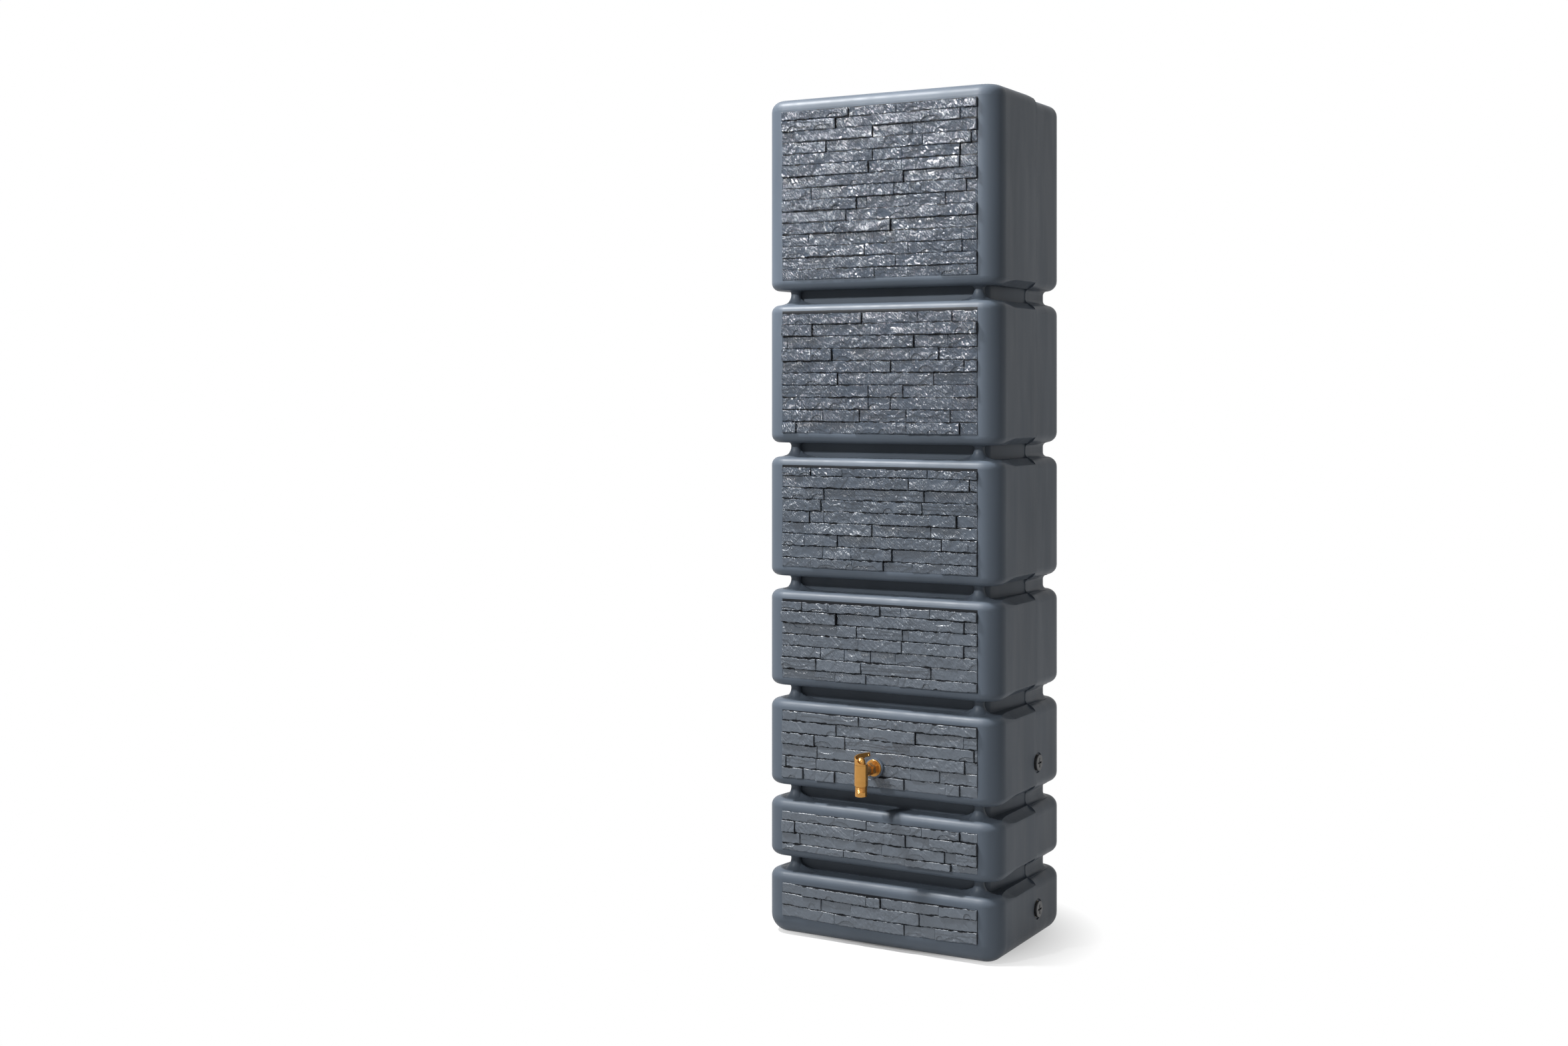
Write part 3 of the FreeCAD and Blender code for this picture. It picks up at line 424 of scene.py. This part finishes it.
def ledges(x, z, height, shift, count):
    """Thin layers that break off one below the other, each with a ragged lower edge."""
    total = np.zeros_like(x)
    for layer in range(count):
        edge = (height * (layer + 1) / (count + 1.0)
                + LEDGE_WANDER * smooth_noise(x, 0 * x, LEDGE_WANDER_CELL, shift + layer))
        edge = edge + LEDGE_RAG * smooth_noise(x, 0 * x, LEDGE_RAG_CELL, shift + 5 + layer)
        total = total + np.clip((z - edge) / LEDGE_STEP, 0.0, 1.0) * LEDGE_DEPTH
    return total


def fracture(x, z, length, height, looks):
    """A slanting break: the face steps down across it and slowly comes back up."""
    turn = looks.uniform(*FRACTURE_TURNS)
    offset = (x - looks.uniform(0, length)) * math.sin(turn) + (z - height / 2) * math.cos(turn)
    fade = np.exp(-np.maximum(offset, 0) / looks.uniform(*FRACTURE_FADES))
    step = np.clip(offset / FRACTURE_STEP, 0.0, 1.0) * fade
    return -looks.uniform(*FRACTURE_DEPTHS) * step


def shell_chips(x, z, length, height, looks):
    """Scalloped hollows along the long edges, deepest under their sharp curved rim."""
    loss = np.zeros_like(x)
    for _ in range(looks.choice(CHIP_COUNTS) if length > CHIPPED_FROM_LENGTH else 0):
        spread = looks.uniform(*CHIP_SPREADS)
        reach = looks.uniform(*CHIP_REACHES) * height
        base_z = looks.choice((0.0, 0.0, 0.0, height))
        place = np.hypot((x - looks.uniform(0, length)) / spread, (z - base_z) / reach)
        loss = np.maximum(loss, np.where(place < 1.0, CHIP_DEPTH + CHIP_BOWL * place ** 2, 0.0))
    return loss


def ragged(x, shift):
    """How far a long edge is broken back, place by place."""
    broken = RAG_DEPTH * np.maximum(smooth_noise(x, 0 * x, RAG_CELL, shift), 0)
    return broken + FINE_RAG_DEPTH * np.maximum(smooth_noise(x, 0 * x, FINE_RAG_CELL, shift + 1), 0)


# the cleft face as a whole, and the grid that carries it
KINDS = ("even", "even", "rough", "rough", "rough", "layered")
EVEN_ROUGHNESS = (0.25, 0.5)
ROUGH_ROUGHNESS = (0.9, 1.5)
LAYERED_ROUGHNESS = 0.9
CALMEST_SHARE, CALM_BELOW_Z = 0.55, 1.2
PATCH_CELL, PATCH_SHARES = 0.045, (0.2, 1.4)
PROUD, PROUD_FROM, PROUD_SHARE, PROUD_LEAST = 0.0009, 0.0022, 0.8, 0.00012
SWELL_CELL, SWELL_DEPTH = 0.04, 0.0006
LONG_STONE = 0.12
EDGE_WEAR, EDGE_WEAR_SPAN, EDGE_WEAR_CELL = 0.0009, 0.0014, 0.008
EDGE_WEAR_LEAST, EDGE_WEAR_DEPTH = 0.0003, 0.0014
TOP_EDGE_SHARPER = 2.5
RIM_ON_FLOOR = 0.0002
CELL_X = 0.0016
CELL_Z = 0.0013
EDGE_STEP = 0.0008
SKIN = 0.0002
STONE_CREASE = math.radians(30)


def proud_face(stone, x, z, shift, looks):
    """How far the cleft face stands out of the plain block, place by place."""
    length, height = stone["length"], stone["height"]
    kind = looks.choice(KINDS)
    roughness = {"even": looks.uniform(*EVEN_ROUGHNESS), "rough": looks.uniform(*ROUGH_ROUGHNESS),
                 "layered": LAYERED_ROUGHNESS}[kind]
    roughness = roughness * min(1.0, max(CALMEST_SHARE, stone["z"] / CALM_BELOW_Z))
    patch = np.clip(0.75 + 0.9 * smooth_noise(x, z, PATCH_CELL, shift + 7), *PATCH_SHARES)
    middle_y = block_front(stone, stone["x"] + length / 2, stone["z"] + height / 2)
    stands_out = PANEL_FLOOR_Y - middle_y
    swell = SWELL_DEPTH * smooth_noise(x, z, SWELL_CELL, shift)
    face = PROUD + PROUD_SHARE * max(0.0, stands_out - PROUD_FROM) + swell
    face = face + patch * cleft_texture(x, z, shift, roughness)
    if kind == "layered":
        face = face + ledges(x, z, height, shift, looks.choice((1, 2, 2))) - LEDGES_SUNK
    for _ in range(looks.choice((0, 1, 1, 2)) + (length > LONG_STONE)):
        face = face + fracture(x, z, length, height, looks)
    face = face - shell_chips(x, z, length, height, looks)
    worn = EDGE_WEAR + EDGE_WEAR_SPAN * smooth_noise(x, z, EDGE_WEAR_CELL, shift + 8)
    worn = np.maximum(worn, EDGE_WEAR_LEAST)
    from_edge = np.minimum(np.minimum(x, length - x), np.minimum(z, TOP_EDGE_SHARPER * (height - z)))
    face = face - EDGE_WEAR_DEPTH * (1 - np.clip(from_edge / worn, 0.0, 1.0)) ** 2
    return np.maximum(face, PROUD_LEAST)


def stepped_places(length, cell):
    """Places of the grid's lines along one side, two of them close together at each end."""
    cells = max(3, round((length - 2 * EDGE_STEP) / cell))
    middle = np.linspace(EDGE_STEP, length - EDGE_STEP, cells + 1)
    return np.concatenate([[-SKIN, -0.8 * SKIN], middle, [length + 0.8 * SKIN, length + SKIN]])


def cleft_stone(stone, looks):
    """A grid over the stone's face whose rim turns back to the panel's floor."""
    length, height = stone["length"], stone["height"]
    xs = stepped_places(length, CELL_X)
    zs = stepped_places(height, CELL_Z)
    bpy.ops.mesh.primitive_grid_add(x_subdivisions=len(xs) - 1, y_subdivisions=len(zs) - 1, size=1.0)
    skin = bpy.context.object
    points = np.empty(len(skin.data.vertices) * 3)
    skin.data.vertices.foreach_get("co", points)
    points = points.reshape(-1, 3)
    column = np.rint((points[:, 0] + 0.5) * (len(xs) - 1)).astype(int)
    row = np.rint((points[:, 1] + 0.5) * (len(zs) - 1)).astype(int)
    x = xs[column]
    z = zs[row]
    rim = (column == 0) | (row == 0) | (column == len(xs) - 1) | (row == len(zs) - 1)

    shift = looks.uniform(0, 100)
    face = proud_face(stone, x, z, shift, looks)
    real_x = stone["x"] + x
    inward = ragged(x, shift + 11) * np.clip(1 - z / height, 0, 1) ** 4
    inward = inward - ragged(x, shift + 13) * np.clip(z / height, 0, 1) ** 4
    real_z = stone["z"] + z + inward + stone["rise"] * np.clip(x / length, 0.0, 1.0)
    real_y = np.where(rim, PANEL_FLOOR_Y + RIM_ON_FLOOR, block_front(stone, real_x, real_z) - face)
    skin.data.vertices.foreach_set("co", np.column_stack([real_x, real_y, real_z]).ravel())
    return skin


def join_front(index, skins):
    bpy.ops.object.select_all(action="DESELECT")
    for skin in skins:
        skin.select_set(True)
    bpy.context.view_layer.objects.active = skins[0]
    bpy.ops.object.join()
    front = bpy.context.object
    front.name = f"stone_front_{index + 1}"
    front.data.name = front.name
    bpy.ops.object.mode_set(mode="EDIT")
    bpy.ops.mesh.select_all(action="SELECT")
    bpy.ops.mesh.flip_normals()
    bpy.ops.object.mode_set(mode="OBJECT")
    bpy.ops.object.shade_smooth_by_angle(angle=STONE_CREASE)
    return front


# the stones' finish: smoother and glossier from the lower tiers to the upper ones
STONE_DARK = (0.018, 0.027, 0.041, 1.0)
STONE_SHEEN = 0.66
CLIMB_Z = (0.25, 1.35)
STROKE_TURN = math.radians(-35)
STROKE_SIZE = (0.0032, 0.006, 0.010)
JOINT_FACING = (-0.55, -0.25)


def climb(tree, foot, top):
    """A value that changes from the lower tiers to the upper ones."""
    return carry_over(tree, place_parts(tree)["Z"], *CLIMB_Z, foot, top, "SMOOTHSTEP")


def stroke_field(tree):
    """Fine slanting strokes in patches, with smooth slate between them."""
    place = add_node(tree, "ShaderNodeTexCoord")
    turned = add_node(tree, "ShaderNodeMapping", vector_type="TEXTURE", Rotation=(0, STROKE_TURN, 0),
                      Scale=STROKE_SIZE, Vector=place.outputs["Object"])
    strokes = add_node(tree, "ShaderNodeTexNoise", Scale=1.0, Detail=3.0,
                       Vector=turned.outputs["Vector"])
    patches = vary(tree, noise_field(tree, 34.0, 2.0), 0.15, 1.8)
    patched = reckon(tree, "MULTIPLY", strokes.outputs["Fac"], patches)
    return reckon(tree, "MULTIPLY", patched, climb(tree, 0.26, 0.78))


def joint_shade(tree):
    """Slate on the stones' faces, darker on the upper tiers, with painted shade: nearly black where a
    face turns back into a joint.
    """
    facing = add_node(tree, "ShaderNodeNewGeometry")
    parts = add_node(tree, "ShaderNodeSeparateXYZ", Vector=facing.outputs["Normal"])
    turned_away = carry_over(tree, parts.outputs["Y"], *JOINT_FACING)
    face = mix_colour(tree, climb(tree, 0.0, 1.0), SLATE, STONE_DARK)
    # Painted shade: the walls that turn away from the front, into the joints, are painted near-black.
    return mix_colour(tree, turned_away, face, PAINTED_JOINT_SHADE)


moulded_stone, tree, shader = new_material("moulded_stone", SLATE, 0.22, STONE_SHEEN)
tree.links.new(joint_shade(tree), shader.inputs["Base Color"])
gloss = reckon(tree, "ADD", vary(tree, noise_field(tree, 60.0, 4.0), -0.04, 0.05),
               climb(tree, 0.44, 0.17))
tree.links.new(gloss, shader.inputs["Roughness"])
bump_stack(tree, shader, [
    (stroke_field(tree), 0.0042, 1.0),
    (noise_field(tree, 420.0, 5.0), 0.0004, 0.5),
])

stones = solid_stones()
for index, tier_top in enumerate(TIER_TOPS):
    tier_floor = TIER_TOPS[index - 1] if index else 0.0
    looks = random.Random(40 + index)
    skins = [cleft_stone(stone, looks) for stone in stones if tier_floor < stone["z"] < tier_top]
    front = join_front(index, skins)
    front.data.materials.clear()
    front.data.materials.append(moulded_stone)
    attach(front, "tank")


# Tap
# A lever tap in copper-gold plastic: barrel, hexagon stem and flange screwed into the tank, with a
# grey-blue rubber washer behind the flange.
COPPER_GOLD = (0.46, 0.235, 0.062, 1.0)
COPPER_DARK = (0.41, 0.205, 0.052, 1.0)
WASHER_BLUE = (0.075, 0.095, 0.125, 1.0)
GRAIN_DEPTH = 0.0001


def fine_grain(tree, shader, scale, strength, detail=2.0):
    bump_stack(tree, shader, [(noise_field(tree, scale, detail), GRAIN_DEPTH, strength)])


copper_gold, tree, shader = new_material("copper_gold", COPPER_GOLD, 0.24, 0.6, 0.85)
copper_tones = two_tone(tree, noise_field(tree, 45.0, 2.0), COPPER_DARK, COPPER_GOLD)
tree.links.new(copper_tones, shader.inputs["Base Color"])
tree.links.new(vary(tree, noise_field(tree, 160.0, 2.0), 0.22, 0.27), shader.inputs["Roughness"])
fine_grain(tree, shader, 700.0, 0.3)
for node_name in ("tap_body", "tap_valve_plug", "tap_lever"):
    dress(node_name, copper_gold)

washer_rubber, tree, shader = new_material("washer_rubber", WASHER_BLUE, 0.6, 0.3)
fine_grain(tree, shader, 700.0, 0.4)
dress("tap_washer", washer_rubber)


# Screw plugs
# Four black plugs with a cross recess close the threaded bushes low in the tank's sides, each on its
# own flat seal. The tap's bush and its seals are of the same brass and rubber.
PLUG_BLACK = (0.009, 0.010, 0.012, 1.0)
SEAL_BLACK = (0.012, 0.012, 0.012, 1.0)
BRASS = (0.62, 0.42, 0.15, 1.0)

plug_black, tree, shader = new_material("plug_black", PLUG_BLACK, 0.42, 0.5)
tree.links.new(vary(tree, noise_field(tree, 120.0, 3.0), 0.34, 0.5), shader.inputs["Roughness"])
fine_grain(tree, shader, 900.0, 0.4)

seal_rubber, tree, shader = new_material("seal_rubber", SEAL_BLACK, 0.7, 0.25)
fine_grain(tree, shader, 800.0, 0.3)

turned_brass, tree, shader = new_material("turned_brass", BRASS, 0.3, 0.5, 1.0)
fine_grain(tree, shader, 400.0, 0.3, 3.0)

for place in ("left_upper", "left_lower", "right_upper", "right_lower"):
    dress(f"plug_{place}", plug_black)
    dress(f"plug_seal_{place}", seal_rubber)
    dress(f"plug_bush_{place}", turned_brass)
dress("tap_bush", turned_brass)
for node_name in ("tap_oring_upper", "tap_oring_lower", "lid_seal"):
    dress(node_name, seal_rubber)


# Lid
# A ribbed screw lid of darker polyethylene with a grip bar, over the filling collar.
LID_GREY = (0.040, 0.050, 0.062, 1.0)

lid_grey, tree, shader = new_material("lid_grey", LID_GREY, 0.42, 0.45)
tree.links.new(vary(tree, noise_field(tree, 40.0, 3.0), 0.36, 0.5), shader.inputs["Roughness"])
fine_grain(tree, shader, 800.0, 0.4)
dress("lid", lid_grey)


# Studio
# A pale floor that fades into a white background, and four lamps: the key high at the left, a small
# one in front that draws glints on the stones, a tall one at the right and a wide one above.
FLOOR_R = 7.0
FLOOR_GREY = (0.50, 0.50, 0.50, 1.0)
FLOOR_FADE = (0.10, 0.42)
WORLD_FILL = 0.11
WHITE_STRENGTH = 1.0
GLINT_SPREAD = math.radians(75)


def seen_directly(tree):
    """1 for what the camera sees, also by way of a gloss or a clear piece, 0 for light on a surface."""
    path = add_node(tree, "ShaderNodeLightPath").outputs
    seen = path["Is Camera Ray"]
    for kind in ("Is Glossy Ray", "Is Transmission Ray"):
        seen = reckon(tree, "MAXIMUM", seen, path[kind])
    return seen


def studio_lamp(name, place, aim, size, power):
    bpy.ops.object.light_add(type="AREA", location=place)
    lamp = bpy.context.object
    lamp.name = name
    lamp.data.shape = "RECTANGLE"
    lamp.data.size, lamp.data.size_y = size
    lamp.data.energy = power
    towards = [a - b for a, b in zip(aim, place)]
    lamp.rotation_euler = (math.atan2(math.hypot(towards[0], towards[1]), -towards[2]), 0,
                           math.atan2(-towards[0], towards[1]))
    return lamp


bpy.ops.mesh.primitive_circle_add(vertices=96, radius=FLOOR_R, fill_type="NGON", location=(0, 0, 0))
floor = bpy.context.object
floor.name = "studio_floor"
floor_white, tree, shader = new_material("floor_white", FLOOR_GREY, 0.9, 0.0)
coordinates = add_node(tree, "ShaderNodeTexCoord")
from_middle = add_node(tree, "ShaderNodeVectorMath", operation="LENGTH")
tree.links.new(coordinates.outputs["Object"], from_middle.inputs[0])
fade = carry_over(tree, from_middle.outputs["Value"], *FLOOR_FADE)
share = reckon(tree, "MULTIPLY", fade, seen_directly(tree))
white = add_node(tree, "ShaderNodeEmission", Strength=WHITE_STRENGTH)
mix = add_node(tree, "ShaderNodeMixShader", Fac=share)
tree.links.new(shader.outputs["BSDF"], mix.inputs[1])
tree.links.new(white.outputs["Emission"], mix.inputs[2])
tree.links.new(mix.outputs["Shader"], tree.nodes["Material Output"].inputs["Surface"])
floor.data.materials.append(floor_white)

world = bpy.data.worlds.new("studio")
bpy.context.scene.world = world
world.use_nodes = True
tree = world.node_tree
background = tree.nodes["Background"]
background.inputs["Color"].default_value = (1, 1, 1, 1)
strength = carry_over(tree, seen_directly(tree), 0.0, 1.0, WORLD_FILL, WHITE_STRENGTH)
tree.links.new(strength, background.inputs["Strength"])

studio_lamp("key_lamp", (-2.0, -1.45, 5.0), (0.05, -0.19, 1.4), (0.5, 0.5), 595)
glint_lamp = studio_lamp("glint_lamp", (-1.6, -4.0, 3.5), (0.15, -0.19, 1.7), (0.3, 0.3), 49)
glint_lamp.data.spread = GLINT_SPREAD
studio_lamp("corner_lamp", (3.2, -4.6, 2.5), (0.26, -0.17, 1.4), (0.75, 2.4), 42)
studio_lamp("top_lamp", (0.3, -1.5, 4.7), (0, -0.1, 1.2), (2.6, 1.7), 20)

bpy.context.scene.view_settings.view_transform = "Standard"
